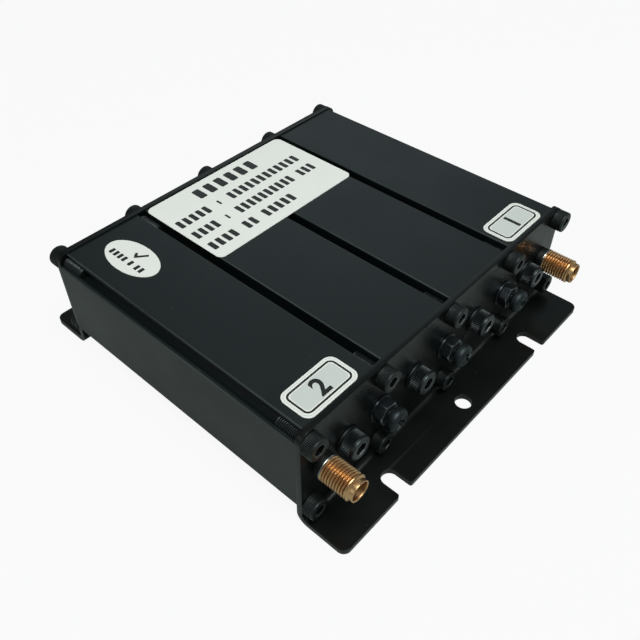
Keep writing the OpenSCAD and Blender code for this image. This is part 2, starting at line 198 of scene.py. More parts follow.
def body_outline(low, high):
    """The extrusion's outer path, right upper quarter first, around its middle."""
    half_w = high.x
    half_h = (high.z - low.z) / 2
    row = top_row_z - middle_z
    pitch = centre("coupling_lock_nut_3").x
    head_r = (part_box("front_top_screws")[1].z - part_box("front_top_screws")[0].z) / 2
    corner_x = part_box("front_top_screws")[1].x - head_r
    channel = 1.3 * MM
    floor = row - 1.7 * MM
    root = 0.2 * MM
    quarter = [((0, floor), 0), ((channel, floor), root), ((channel, half_h), edge_r),
               ((pitch - channel, half_h), edge_r), ((pitch - channel, floor), root),
               ((pitch + channel, floor), root), ((pitch + channel, half_h), edge_r),
               ((corner_x, half_h), edge_r), ((corner_x, row + channel), 0)]
    points = [Vector(p) for p, _ in quarter]
    path = []
    for i, (_, radius) in enumerate(quarter):
        if radius:
            path += rounded_corner(points[i - 1], points[i], points[i + 1], radius)
        else:
            path.append(points[i])
    port = Vector((corner_x, row))
    for step in range(1, 18):
        angle = math.radians(90 + 270 * step / 18)
        path.append(port + channel * Vector((math.cos(angle), math.sin(angle))))
    inner = Vector((corner_x + channel, row))
    outer = Vector((half_w, row))
    path += rounded_corner(port + Vector((channel, -channel)), inner, outer, 0.2 * MM)
    path += rounded_corner(inner, outer, Vector((half_w, 0)), edge_r)
    path.append(Vector((half_w, 0)))
    right = path + [Vector((p.x, -p.y)) for p in reversed(path[:-1])]
    left = [Vector((-p.x, p.y)) for p in reversed(right)]
    return right[:-1] + left[:-1]


def cavity_path(middle_x, width, height, radius, steps=8):
    path = []
    for start, sx, sy in ((0, 1, 1), (90, -1, 1), (180, -1, -1), (270, 1, -1)):
        pivot = Vector((middle_x + sx * (width / 2 - radius), sy * (height / 2 - radius)))
        for step in range(steps + 1):
            angle = math.radians(start + 90 * step / steps)
            path.append(pivot + radius * Vector((math.cos(angle), math.sin(angle))))
    return path


def link_object(name, mesh):
    made = bpy.data.objects.new(name, mesh)
    bpy.context.scene.collection.objects.link(made)
    return made


def plain_mesh(made):
    """Replaces an object's mesh by what its modifiers make of it, and removes them."""
    bpy.context.view_layer.update()
    depsgraph = bpy.context.evaluated_depsgraph_get()
    mesh = bpy.data.meshes.new_from_object(made.evaluated_get(depsgraph))
    made.modifiers.clear()
    made.data = mesh
    return made


def block(name, low, high):
    bm = bmesh.new()
    bmesh.ops.create_cube(bm, size=1)
    for v in bm.verts:
        v.co = Vector([low[i] if v.co[i] < 0 else high[i] for i in range(3)])
    mesh = bpy.data.meshes.new(name)
    bm.to_mesh(mesh)
    bm.free()
    return link_object(name, mesh)


def cut_away(made, cutters):
    """Cuts each cutter out of the piece and removes the cutters."""
    for cutter in cutters:
        modifier = made.modifiers.new("cut", "BOOLEAN")
        modifier.solver = "EXACT"
        modifier.object = cutter
    plain_mesh(made)
    for cutter in cutters:
        bpy.data.objects.remove(cutter)


def finish_piece(made, body, nodes, material, sharp=32):
    """Smooth shading with sharp edges and flat large faces, one material, and the piece's place."""
    mesh = made.data
    mesh.shade_smooth()
    mesh.set_sharp_from_angle(angle=math.radians(sharp))
    for face in mesh.polygons:
        if face.area > 300 * MM * MM:
            face.use_smooth = False
    if material:
        mesh.materials.clear()
        mesh.materials.append(material)
    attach(made, body)
    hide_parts(*nodes)
    return made


def anodised_black():
    """Blasted aluminium under a black anodised layer: dull, faintly green grey where light grazes it,
    with a fine grain, faint die lines along the extrusion and a few pale specks of dust, and a painted
    highlight along the rounded outer edges, broken up by the die lines."""
    material, tree = new_material("anodised_black")
    place = add_node(tree, "ShaderNodeTexCoord")
    grain = add_node(tree, "ShaderNodeTexNoise", {"Vector": place.outputs["Object"], "Scale": 1 / (0.16 * MM),
                                                  "Detail": 3.0, "Roughness": 0.7})
    along = add_node(tree, "ShaderNodeMapping", {"Vector": place.outputs["Object"],
                                                 "Scale": (1 / (0.5 * MM), 1 / (40 * MM), 1 / (0.5 * MM))})
    die_lines = add_node(tree, "ShaderNodeTexNoise", {"Vector": along.outputs[0], "Scale": 1.0,
                                                      "Detail": 4.0, "Roughness": 0.6})
    cloud = add_node(tree, "ShaderNodeTexNoise", {"Vector": place.outputs["Object"], "Scale": 1 / (22 * MM),
                                                  "Detail": 3.0, "Roughness": 0.55})
    body = add_node(tree, "ShaderNodeMix", {0: cloud.outputs[0], 6: srgb("0a1112"), 7: srgb("0f1819")},
                    data_type="RGBA")
    speckle = add_node(tree, "ShaderNodeMapRange", {0: grain.outputs[0], 1: 0.35, 2: 0.7, 3: 0.86, 4: 1.12})
    toned = add_node(tree, "ShaderNodeMix", {0: 1.0, 6: body.outputs[2], 7: speckle.outputs[0]},
                     data_type="RGBA", blend_type="MULTIPLY")
    dust_cells = add_node(tree, "ShaderNodeTexVoronoi", {"Vector": place.outputs["Object"],
                                                         "Scale": 1 / (3.4 * MM)})
    dust = add_node(tree, "ShaderNodeMapRange", {0: dust_cells.outputs["Distance"], 1: 0.035, 2: 0.02,
                                                 3: 0.0, 4: 0.35})
    dusted = add_node(tree, "ShaderNodeMix", {0: dust.outputs[0], 6: toned.outputs[2], 7: srgb("8d9491")},
                      data_type="RGBA")
    # Painted highlight: the rounded outer edges are mixed towards pale grey, in patches along the die lines.
    edge_light = add_node(tree, "ShaderNodeAttribute", attribute_name="edge_highlight")
    patchy = add_node(tree, "ShaderNodeMapRange", {0: die_lines.outputs[0], 1: 0.35, 2: 0.65, 3: 0.3, 4: 0.8})
    highlight_mask = add_node(tree, "ShaderNodeMath", {0: edge_light.outputs["Fac"], 1: patchy.outputs[0]},
                    operation="MULTIPLY")
    painted_highlight = add_node(tree, "ShaderNodeMix", {0: highlight_mask.outputs[0], 6: dusted.outputs[2], 7: srgb("49504e")},
                      data_type="RGBA")
    gloss = add_node(tree, "ShaderNodeMapRange", {0: cloud.outputs[0], 1: 0.3, 2: 0.7, 3: 0.36, 4: 0.46})
    heights = add_node(tree, "ShaderNodeMath", {0: grain.outputs[0], 1: 0.6}, operation="MULTIPLY")
    heights = add_node(tree, "ShaderNodeMath", {0: die_lines.outputs[0], 1: heights.outputs[0]},
                       operation="ADD")
    bump = add_node(tree, "ShaderNodeBump", {"Height": heights.outputs[0], "Strength": 0.35,
                                             "Distance": 0.02 * MM})
    shader = add_node(tree, "ShaderNodeBsdfPrincipled",
                      {"Base Color": painted_highlight.outputs[2], "Roughness": gloss.outputs[0], "IOR": 1.44,
                       "Normal": bump.outputs[0]})
    show_surface(tree, shader)
    return material


def on_highlit_edge(point, half_w, half_h):
    """Whether a point of the outline lies within the rounding of an outer edge, where the painted highlight
    goes.
    """
    inset = (half_w - abs(point.x), half_h - abs(point.y))
    return any(0.05 * edge_r < i < 0.9 * edge_r for i in inset)


def make_body():
    low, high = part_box("cavity_body")
    pitch = centre("coupling_lock_nut_3").x
    wall = 4.6 * MM
    paths = [body_outline(low, high)]
    cavity_h = high.z - low.z - 2 * 1.8 * MM
    for i in (-1.5, -0.5, 0.5, 1.5):
        paths.append(cavity_path(i * pitch, pitch - wall, cavity_h, 8 * MM))
    bm = bmesh.new()
    edge_light = bm.verts.layers.float.new("edge_highlight")
    rims = {low.y: [], high.y: []}
    for path in paths:
        rings = []
        for y in (low.y, high.y):
            ring = [bm.verts.new((p.x, y, p.y + middle_z)) for p in path]
            for v, p in zip(ring, path):
                # Marks the rounded outer edges for the material's painted highlight.
                v[edge_light] = float(on_highlit_edge(p, high.x, (high.z - low.z) / 2))
            rims[y] += [bm.edges.new((ring[i - 1], ring[i])) for i in range(len(ring))]
            rings.append(ring)
        for i in range(len(path)):
            bm.faces.new((rings[0][i - 1], rings[0][i], rings[1][i], rings[1][i - 1]))
    for edges in rims.values():
        bmesh.ops.triangle_fill(bm, use_beauty=True, edges=edges)
    bmesh.ops.recalc_face_normals(bm, faces=bm.faces)
    mesh = bpy.data.meshes.new("extruded_body")
    bm.to_mesh(mesh)
    bm.free()
    made = link_object("extruded_body", mesh)
    window_h = 12 * MM
    window_l = 30 * MM
    cutters = []
    for x in (-pitch, 0, pitch):
        cutters.append(block("window", (x - wall, low.y - MM, middle_z - window_h / 2),
                             (x + wall, low.y + window_l, middle_z + window_h / 2)))
    cut_away(made, cutters)
    finish_piece(made, "root", ["cavity_body"], anodised_black(), sharp=40)


make_body()


# End plates: aluminium sheet, 1.6 mm thick, punched, bent once and coated in smooth black enamel.
# Each is screwed to the extrusion's end, and its flange is the foot that fixes the filter down.

def softened_copy(node, name, edge, segments=3):
    """A copy of a sheet part's faces with its doubles merged and its edges rounded."""
    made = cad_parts[node].copy()
    made.data = made.data.copy()
    made.name = name
    made.parent = None
    for key in list(made.keys()):
        del made[key]
    bpy.context.scene.collection.objects.link(made)
    bm = bmesh.new()
    bm.from_mesh(made.data)
    bmesh.ops.remove_doubles(bm, verts=bm.verts, dist=0.002 * MM)
    bmesh.ops.dissolve_limit(bm, angle_limit=math.radians(0.5), verts=bm.verts, edges=bm.edges)
    bm.to_mesh(made.data)
    bm.free()
    bevel = made.modifiers.new("edge", "BEVEL")
    bevel.width = edge
    bevel.segments = segments
    bevel.limit_method = "ANGLE"
    bevel.angle_limit = math.radians(40)
    plain_mesh(made)
    made.data.name = name
    return made


def black_enamel():
    """Smooth black enamel baked on sheet: nearly black, half glossy, so its lit edges and the
    soft reflections of the screws show. A faint orange peel and some fine dust break the gloss up."""
    material, tree = new_material("black_enamel")
    place = add_node(tree, "ShaderNodeTexCoord")
    peel = add_node(tree, "ShaderNodeTexNoise", {"Vector": place.outputs["Object"], "Scale": 1 / (0.5 * MM),
                                                 "Detail": 2.0, "Roughness": 0.5})
    cloud = add_node(tree, "ShaderNodeTexNoise", {"Vector": place.outputs["Object"], "Scale": 1 / (15 * MM),
                                                  "Detail": 4.0, "Roughness": 0.6})
    coat = add_node(tree, "ShaderNodeMix", {0: cloud.outputs[0], 6: srgb("090b0b"), 7: srgb("0e1110")},
                    data_type="RGBA")
    dust_cells = add_node(tree, "ShaderNodeTexVoronoi", {"Vector": place.outputs["Object"],
                                                         "Scale": 1 / (2.6 * MM)})
    dust = add_node(tree, "ShaderNodeMapRange", {0: dust_cells.outputs["Distance"], 1: 0.04, 2: 0.02,
                                                 3: 0.0, 4: 0.4})
    dusted = add_node(tree, "ShaderNodeMix", {0: dust.outputs[0], 6: coat.outputs[2], 7: srgb("6f7573")},
                      data_type="RGBA")
    gloss = add_node(tree, "ShaderNodeMapRange", {0: cloud.outputs[0], 1: 0.3, 2: 0.7, 3: 0.26, 4: 0.34})
    bump = add_node(tree, "ShaderNodeBump", {"Height": peel.outputs[0], "Strength": 0.25,
                                             "Distance": 0.02 * MM})
    shader = add_node(tree, "ShaderNodeBsdfPrincipled",
                      {"Base Color": dusted.outputs[2], "Roughness": gloss.outputs[0], "IOR": 1.38,
                       "Normal": bump.outputs[0]})
    show_surface(tree, shader)
    return material


enamel = black_enamel()
for end in ("front", "rear"):
    plate = softened_copy(f"{end}_end_plate", f"{end}_bent_plate", 0.15 * MM)
    finish_piece(plate, "root", [f"{end}_end_plate"], enamel)


# Cover screws: twenty M3 socket cap screws in black oxide, five along each edge of both plates.
# Each is cold headed with a lightly knurled head, and its rolled thread bites into a channel.

def hex_radius(across_flats, angle):
    sector = math.radians(60)
    return across_flats / 2 / math.cos((angle + sector / 2) % sector - sector / 2)


class Turned:
    """Stacks rings of one mesh around the Z axis. Each ring may carry thread and knurl amounts, and
    a painted light amount: above zero for painted shade, below zero for a painted highlight on an edge."""

    def __init__(self, name, segments):
        self.name = name
        self.segments = segments
        self.bm = bmesh.new()
        self.thread = self.bm.verts.layers.float.new("thread_amount")
        self.ridge = self.bm.verts.layers.float.new("ridge_amount")
        self.painted_light = self.bm.verts.layers.float.new("grime_amount")
        self.last = None
        self.first = None

    def ring(self, radius, z, thread=0.0, ridge=0.0, painted_light=0.0):
        """Adds a ring; radius and painted light amount are values or functions of the angle; radius 0 is a
        pole.
        """
        count = 1 if radius == 0 else self.segments
        verts = []
        for i in range(count):
            angle = 2 * math.pi * i / count
            r = radius(angle) if callable(radius) else radius
            v = self.bm.verts.new((r * math.cos(angle), r * math.sin(angle), z))
            v[self.thread] = thread
            v[self.ridge] = ridge
            v[self.painted_light] = painted_light(angle) if callable(painted_light) else painted_light
            verts.append(v)
        if self.last:
            self.join(self.last, verts)
        else:
            self.first = verts
        self.last = verts
        return self

    def join(self, low, high):
        count = self.segments
        for i in range(count):
            j = (i + 1) % count
            if len(low) == 1:
                self.bm.faces.new((low[0], high[j], high[i]))
            elif len(high) == 1:
                self.bm.faces.new((low[i], low[j], high[0]))
            else:
                self.bm.faces.new((low[i], low[j], high[j], high[i]))

    def close(self):
        """Joins the last ring to the first, as in a washer."""
        self.join(self.last, self.first)
        return self

    def rings(self, stations, painted_light=0.0):
        for radius, z in stations:
            self.ring(radius, z, painted_light=painted_light)
        return self

    def threaded(self, radius, start, end, pitch, per_turn=8):
        """Rings close enough to carry a thread, which fades out over one turn at both ends."""
        count = round(abs(end - start) / pitch * per_turn)
        for i in range(count + 1):
            z = start + (end - start) * i / count
            fade = min(1, abs(z - start) / pitch, abs(end - z) / pitch)
            self.ring(radius, z, thread=fade)
        return self

    def made(self):
        bmesh.ops.recalc_face_normals(self.bm, faces=self.bm.faces)
        mesh = bpy.data.meshes.new(self.name)
        self.bm.to_mesh(mesh)
        self.bm.free()
        return link_object(self.name, mesh)


def detail_tree():
    """Geometry nodes that press a helical thread and a straight knurl into a turned piece. The rings'
    thread and ridge amounts say where; the inputs say how far apart and how deep. How far each point
    was pressed in is added to its painted light amount, as painted shade in the grooves, and the
    crests get a little below zero, as a painted highlight."""
    tree = bpy.data.node_groups.new("thread_and_knurl", "GeometryNodeTree")
    face = tree.interface
    face.new_socket("Piece", in_out="INPUT", socket_type="NodeSocketGeometry")
    for name in ("Thread Pitch", "Thread Depth", "Ridges", "Ridge Depth"):
        face.new_socket(name, in_out="INPUT", socket_type="NodeSocketFloat")
    face.new_socket("Piece", in_out="OUTPUT", socket_type="NodeSocketGeometry")
    given = add_node(tree, "NodeGroupInput")
    place = add_node(tree, "GeometryNodeInputPosition")
    parts = add_node(tree, "ShaderNodeSeparateXYZ", {0: place.outputs[0]})
    angle = add_node(tree, "ShaderNodeMath", {0: parts.outputs[1], 1: parts.outputs[0]}, operation="ARCTAN2")
    turns = add_node(tree, "ShaderNodeMath", {0: angle.outputs[0], 1: 2 * math.pi}, operation="DIVIDE")
    rise = add_node(tree, "ShaderNodeMath", {0: parts.outputs[2], 1: given.outputs["Thread Pitch"]},
                    operation="DIVIDE")
    helix = add_node(tree, "ShaderNodeMath", {0: rise.outputs[0], 1: turns.outputs[0]}, operation="ADD")
    phase = add_node(tree, "ShaderNodeMath", {0: helix.outputs[0]}, operation="FRACT")
    tooth = add_node(tree, "ShaderNodeMapRange", {0: phase.outputs[0], 1: 0.0, 2: 1.0, 3: -1.0, 4: 1.0})
    tooth = add_node(tree, "ShaderNodeMath", {0: tooth.outputs[0]}, operation="ABSOLUTE")
    thread = add_node(tree, "GeometryNodeInputNamedAttribute", {0: "thread_amount"}, data_type="FLOAT")
    groove = add_node(tree, "ShaderNodeMath", {0: tooth.outputs[0], 1: thread.outputs[0]},
                      operation="MULTIPLY")
    cut = add_node(tree, "ShaderNodeMath", {0: groove.outputs[0], 1: given.outputs["Thread Depth"]},
                   operation="MULTIPLY")
    wave = add_node(tree, "ShaderNodeMath", {0: angle.outputs[0], 1: given.outputs["Ridges"]},
                    operation="MULTIPLY")
    wave = add_node(tree, "ShaderNodeMath", {0: wave.outputs[0], 1: 2.0}, operation="DIVIDE")
    wave = add_node(tree, "ShaderNodeMath", {0: wave.outputs[0]}, operation="SINE")
    wave = add_node(tree, "ShaderNodeMath", {0: wave.outputs[0]}, operation="ABSOLUTE")
    ridge = add_node(tree, "GeometryNodeInputNamedAttribute", {0: "ridge_amount"}, data_type="FLOAT")
    valley = add_node(tree, "ShaderNodeMath", {0: wave.outputs[0], 1: ridge.outputs[0]},
                      operation="MULTIPLY")
    press = add_node(tree, "ShaderNodeMath", {0: valley.outputs[0], 1: given.outputs["Ridge Depth"]},
                     operation="MULTIPLY")
    depth = add_node(tree, "ShaderNodeMath", {0: cut.outputs[0], 1: press.outputs[0]}, operation="ADD")
    # Painted shade in the grooves and a painted highlight on the crests, stored as the painted light amount.
    share = add_node(tree, "ShaderNodeMath", {0: groove.outputs[0], 1: valley.outputs[0]}, operation="ADD")
    share = add_node(tree, "ShaderNodeMath", {0: share.outputs[0], 1: 1.4}, operation="MULTIPLY")
    painted_highlight = add_node(tree, "ShaderNodeMath", {0: thread.outputs[0], 1: ridge.outputs[0]}, operation="ADD")
    painted_highlight = add_node(tree, "ShaderNodeMath", {0: painted_highlight.outputs[0], 1: 0.4}, operation="MULTIPLY")
    share = add_node(tree, "ShaderNodeMath", {0: share.outputs[0], 1: painted_highlight.outputs[0]},
                     operation="SUBTRACT")
    painted_light = add_node(tree, "GeometryNodeInputNamedAttribute", {0: "grime_amount"}, data_type="FLOAT")
    share = add_node(tree, "ShaderNodeMath", {0: share.outputs[0], 1: painted_light.outputs[0]}, operation="ADD")
    flat = add_node(tree, "ShaderNodeCombineXYZ", {0: parts.outputs[0], 1: parts.outputs[1]})
    outward = add_node(tree, "ShaderNodeVectorMath", {0: flat.outputs[0]}, operation="NORMALIZE")
    inward = add_node(tree, "ShaderNodeMath", {0: depth.outputs[0], 1: -1.0}, operation="MULTIPLY")
    move = add_node(tree, "ShaderNodeVectorMath", {0: outward.outputs[0], "Scale": inward.outputs[0]},
                    operation="SCALE")
    shaped = add_node(tree, "GeometryNodeSetPosition", {"Geometry": given.outputs["Piece"],
                                                        "Offset": move.outputs[0]})
    kept = add_node(tree, "GeometryNodeStoreNamedAttribute",
                    {"Geometry": shaped.outputs[0], "Name": "grime_amount", "Value": share.outputs[0]},
                    data_type="FLOAT", domain="POINT")
    add_node(tree, "NodeGroupOutput", {0: kept.outputs[0]})
    return tree


def row_tree():
    """Geometry nodes that set one piece on every point of a row, each turned by chance about its
    own axis, as screws are when they are tight."""
    tree = bpy.data.node_groups.new("row_of_pieces", "GeometryNodeTree")
    face = tree.interface
    face.new_socket("Seats", in_out="INPUT", socket_type="NodeSocketGeometry")
    face.new_socket("Piece", in_out="INPUT", socket_type="NodeSocketObject")
    face.new_socket("Facing", in_out="INPUT", socket_type="NodeSocketVector")
    face.new_socket("Greatest Turn", in_out="INPUT", socket_type="NodeSocketFloat")
    face.new_socket("Seed", in_out="INPUT", socket_type="NodeSocketInt")
    face.new_socket("Finish", in_out="INPUT", socket_type="NodeSocketMaterial")
    face.new_socket("Row", in_out="OUTPUT", socket_type="NodeSocketGeometry")
    given = add_node(tree, "NodeGroupInput")
    piece = add_node(tree, "GeometryNodeObjectInfo", {"Object": given.outputs["Piece"]})
    turned = add_node(tree, "FunctionNodeEulerToRotation", {0: given.outputs["Facing"]})
    row = add_node(tree, "GeometryNodeInstanceOnPoints",
                   {"Points": given.outputs["Seats"], "Instance": piece.outputs["Geometry"],
                    "Rotation": turned.outputs[0]})
    chance = add_node(tree, "FunctionNodeRandomValue",
                      {2: 0.0, 3: given.outputs["Greatest Turn"], "Seed": given.outputs["Seed"]},
                      data_type="FLOAT")
    spin = add_node(tree, "ShaderNodeCombineXYZ", {2: chance.outputs[1]})
    spin = add_node(tree, "FunctionNodeEulerToRotation", {0: spin.outputs[0]})
    tight = add_node(tree, "GeometryNodeRotateInstances",
                     {"Instances": row.outputs[0], "Rotation": spin.outputs[0], "Local Space": True})
    real = add_node(tree, "GeometryNodeRealizeInstances", {0: tight.outputs[0]})
    coated = add_node(tree, "GeometryNodeSetMaterial", {"Geometry": real.outputs[0],
                                                        "Material": given.outputs["Finish"]})
    add_node(tree, "NodeGroupOutput", {0: coated.outputs[0]})
    return tree


thread_and_knurl = detail_tree()
row_of_pieces = row_tree()


def apply_tree(made, tree, values):
    """Runs a geometry node tree on an object with its inputs set by name, and keeps the result."""
    modifier = made.modifiers.new("nodes", "NODES")
    modifier.node_group = tree
    for item in tree.interface.items_tree:
        if item.in_out == "INPUT" and item.name in values:
            modifier[item.identifier] = values[item.name]
    return plain_mesh(made)


def press_detail(made, pitch=0.5 * MM, depth=0.0, ridges=40.0, ridge_depth=0.0):
    return apply_tree(made, thread_and_knurl, {"Thread Pitch": pitch, "Thread Depth": depth,
                                               "Ridges": float(ridges), "Ridge Depth": ridge_depth})


FRONT = (math.radians(90), 0, 0)
REAR = (math.radians(-90), 0, 0)


def set_row(name, pattern, seats, facing, finish, turn=2 * math.pi, seed=1):
    """One piece at each seat, as a plain mesh whose place is in its vertices."""
    mesh = bpy.data.meshes.new(name)
    mesh.from_pydata([tuple(s) for s in seats], [], [])
    made = link_object(name, mesh)
    values = {"Piece": pattern, "Facing": facing, "Greatest Turn": turn, "Seed": seed, "Finish": finish}
    return apply_tree(made, row_of_pieces, values)


def cap_screw(name, head_d, head_h, socket, shank_d, length, pitch, ridges, knurl, smooth_rim):
    """A socket cap screw whose head stands on z = 0: shank shell first, then the head shell."""
    head = head_d / 2
    shank = shank_d / 2
    tip = 0.35 * MM
    rim = 0.35 * MM
    screw = Turned(name, 32)
    screw.ring(0, -length).ring(shank - tip, -length).ring(shank, tip - length)
    screw.threaded(shank, tip - length, 0, pitch)
    screw.ring(0, 0)
    screw = screw.made()
    cap = Turned(name + "_head", ridges * 4)
    cap.ring(0, 0).ring(head - 0.2 * MM, 0)
    cap.ring(head - 0.05 * MM, 0.06 * MM).ring(head, 0.2 * MM)
    cap.ring(head, 0.3 * MM, ridge=1).ring(head, head_h - smooth_rim, ridge=1)
    cap.ring(head, head_h - smooth_rim + 0.12 * MM)
    for step in range(6):
        angle = math.radians(90 * step / 5)
        cap.ring(head - rim + rim * math.cos(angle), head_h - rim + rim * math.sin(angle))
    edge = 0.12 * MM
    # The socket's rim gets a painted highlight, below zero, and its walls and floor painted shade, above
    # zero.
    cap.ring(lambda a: hex_radius(socket, a) + 2.5 * edge, head_h)
    cap.ring(lambda a: hex_radius(socket, a) + edge, head_h, painted_light=-0.5)
    cap.ring(lambda a: hex_radius(socket, a) + 0.3 * edge, head_h - 0.3 * edge, painted_light=-0.5)
    cap.ring(lambda a: hex_radius(socket, a), head_h - edge, painted_light=0.5)
    cap.ring(lambda a: hex_radius(socket, a), head_h - 3 * edge, painted_light=0.8)
    cap.ring(lambda a: hex_radius(socket, a), head_h * 0.5, painted_light=0.8)
    cap.ring(lambda a: hex_radius(socket, a) * 0.9, head_h * 0.46, painted_light=0.8)
    cap.ring(0, head_h * 0.34, painted_light=0.8)
    cap = cap.made()
    press_detail(screw, pitch=pitch, depth=0.61 * pitch)
    press_detail(cap, ridges=ridges, ridge_depth=knurl)
    return merged(name, [screw, cap])


def merged(name, pieces):
    """Joins loose objects into one mesh and removes them."""
    bm = bmesh.new()
    for piece in pieces:
        bm.from_mesh(piece.data)
        bpy.data.objects.remove(piece)
    mesh = bpy.data.meshes.new(name)
    bm.to_mesh(mesh)
    bm.free()
    return link_object(name, mesh)


def black_oxide(name, tone, lit, roughness):
    """Steel with a black oxide skin wiped with oil: dark, softly shiny, uneven at the scale of the
    skin's grain, nearly black in grooves and sockets as painted shade, and with a thin pale line
    on edges and crests as a painted highlight."""
    material, tree = new_material(name)
    place = add_node(tree, "ShaderNodeTexCoord")
    grain = add_node(tree, "ShaderNodeTexNoise", {"Vector": place.outputs["Object"], "Scale": 1 / (0.25 * MM),
                                                  "Detail": 3.0, "Roughness": 0.65})
    cloud = add_node(tree, "ShaderNodeTexNoise", {"Vector": place.outputs["Object"], "Scale": 1 / (2.2 * MM),
                                                  "Detail": 3.0, "Roughness": 0.6})
    skin = add_node(tree, "ShaderNodeMix", {0: cloud.outputs[0], 6: srgb(tone), 7: srgb(lit)},
                    data_type="RGBA")
    painted_light = add_node(tree, "ShaderNodeAttribute", attribute_name="grime_amount")
    # Painted shade: where the painted light amount is above zero, grooves and sockets are mixed to near
    # black. Painted highlight: where it is below zero, edges and crests are mixed to pale steel.
    groove_shade = add_node(tree, "ShaderNodeMapRange", {0: painted_light.outputs["Fac"], 1: 0.2, 2: 0.8, 3: 0.0, 4: 0.88})
    highlight_mask = add_node(tree, "ShaderNodeMapRange", {0: painted_light.outputs["Fac"], 1: 0.0, 2: -1.0, 3: 0.0, 4: 1.0})
    skin = add_node(tree, "ShaderNodeMix", {0: groove_shade.outputs[0], 6: skin.outputs[2], 7: srgb("060707")},
                    data_type="RGBA")
    skin = add_node(tree, "ShaderNodeMix", {0: highlight_mask.outputs[0], 6: skin.outputs[2], 7: srgb("8c9294")},
                    data_type="RGBA")
    gloss = add_node(tree, "ShaderNodeMapRange", {0: cloud.outputs[0], 1: 0.3, 2: 0.7,
                                                  3: roughness - 0.07, 4: roughness + 0.07})
    dull = add_node(tree, "ShaderNodeMath", {0: groove_shade.outputs[0], 1: 0.2}, operation="MULTIPLY")
    gloss = add_node(tree, "ShaderNodeMath", {0: gloss.outputs[0], 1: dull.outputs[0]}, operation="ADD")
    bump = add_node(tree, "ShaderNodeBump", {"Height": grain.outputs[0], "Strength": 0.3,
                                             "Distance": 0.015 * MM})
    shader = add_node(tree, "ShaderNodeBsdfPrincipled",
                      {"Base Color": skin.outputs[2], "Roughness": gloss.outputs[0], "Metallic": 0.85,
                       "Normal": bump.outputs[0]})
    show_surface(tree, shader)
    return material


rear_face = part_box("tuning_lock_nut_1")[0].y


def cover_screw_columns():
    low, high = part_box("front_top_screws")
    corner = high.x - (high.z - low.z) / 2
    pitch = centre("coupling_lock_nut_3").x
    return [-corner, -pitch, 0, pitch, corner]


def make_cover_screws():
    finish = black_oxide("black_oxide", "292d2d", "383d3d", 0.46)
    pattern = cap_screw("cover_screw", head_d=5.4 * MM, head_h=3 * MM, socket=2.5 * MM, shank_d=3 * MM,
                        length=8 * MM, pitch=0.5 * MM, ridges=44, knurl=0.05 * MM, smooth_rim=0.7 * MM)
    rows = [("front_top_screws", front_face, top_row_z, FRONT, 3),
            ("front_bottom_screws", front_face, bottom_row_z, FRONT, 4),
            ("rear_top_screws", rear_face, top_row_z, REAR, 5),
            ("rear_bottom_screws", rear_face, bottom_row_z, REAR, 6)]
    for node, y, z, facing, seed in rows:
        seats = [(x, y, z) for x in cover_screw_columns()]
        made = set_row(node.replace("screws", "cap_screws"), pattern, seats, facing, finish, seed=seed)
        finish_piece(made, "root", [node], None)
    bpy.data.objects.remove(pattern)


make_cover_screws()


# Resonator screws: four stronger socket cap screws through the front plate, each on a washer. They
# hold the resonator rods. Their heads are boldly knurled up to a smooth rim at the face.

def washer(name, outer_d, inner_d, height, edge):
    outer = outer_d / 2
    inner = inner_d / 2
    ring = Turned(name, 72)
    ring.rings([(inner, edge), (inner + edge, 0), (outer - edge, 0), (outer, edge),
                (outer, height - edge), (outer - edge * 0.3, height - edge * 0.3),
                (outer - edge, height), (inner + edge, height), (inner, height - edge)])
    return ring.close().made()


def nickel_plate(name, tone, lit, roughness):
    """Nickel plate on steel: grey, warm and clouded, smooth enough to catch a bright line of light
    on its rim."""
    material, tree = new_material(name)
    place = add_node(tree, "ShaderNodeTexCoord")
    cloud = add_node(tree, "ShaderNodeTexNoise", {"Vector": place.outputs["Object"], "Scale": 1 / (1.1 * MM),
                                                  "Detail": 4.0, "Roughness": 0.65})
    tint = add_node(tree, "ShaderNodeMix", {0: cloud.outputs[0], 6: srgb(tone), 7: srgb(lit)},
                    data_type="RGBA")
    gloss = add_node(tree, "ShaderNodeMapRange", {0: cloud.outputs[0], 1: 0.3, 2: 0.7,
                                                  3: roughness, 4: roughness + 0.15})
    bump = add_node(tree, "ShaderNodeBump", {"Height": cloud.outputs[0], "Strength": 0.4,
                                             "Distance": 0.03 * MM})
    shader = add_node(tree, "ShaderNodeBsdfPrincipled",
                      {"Base Color": tint.outputs[2], "Roughness": gloss.outputs[0], "Metallic": 1.0,
                       "Normal": bump.outputs[0]})
    show_surface(tree, shader)
    return material


rod_columns = [centre(f"resonator_rod_{i}").x for i in (1, 2, 3, 4)]


def make_resonator_screws():
    washer_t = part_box("resonator_washers")[1].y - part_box("resonator_washers")[0].y
    finish = black_oxide("oiled_black_oxide", "34383a", "4c5153", 0.34)
    pattern = cap_screw("resonator_screw", head_d=6.05 * MM, head_h=3.5 * MM, socket=2.9 * MM,
                        shank_d=3.5 * MM, length=10 * MM, pitch=0.6 * MM, ridges=40, knurl=0.22 * MM,
                        smooth_rim=0.95 * MM)
    seats = [(x, front_face - washer_t, middle_z) for x in rod_columns]
    made = set_row("resonator_cap_screws", pattern, seats, FRONT, finish, seed=11)
    finish_piece(made, "root", ["resonator_screws"], None)
    bpy.data.objects.remove(pattern)
    pattern = washer("washer", 6.8 * MM, 3.9 * MM, washer_t, 0.12 * MM)
    seats = [(x, front_face, middle_z) for x in rod_columns]
    grey = nickel_plate("dark_nickel", "222526", "3a3d3e", 0.46)
    made = set_row("resonator_flat_washers", pattern, seats, FRONT, grey, seed=12)
    finish_piece(made, "root", ["resonator_washers"], None)
    bpy.data.objects.remove(pattern)


make_resonator_screws()


# Resonator rods: aluminium bar, turned, bored at the open end and silver plated. They stand inside
# the cavities, out of sight, so only their finish is set here.

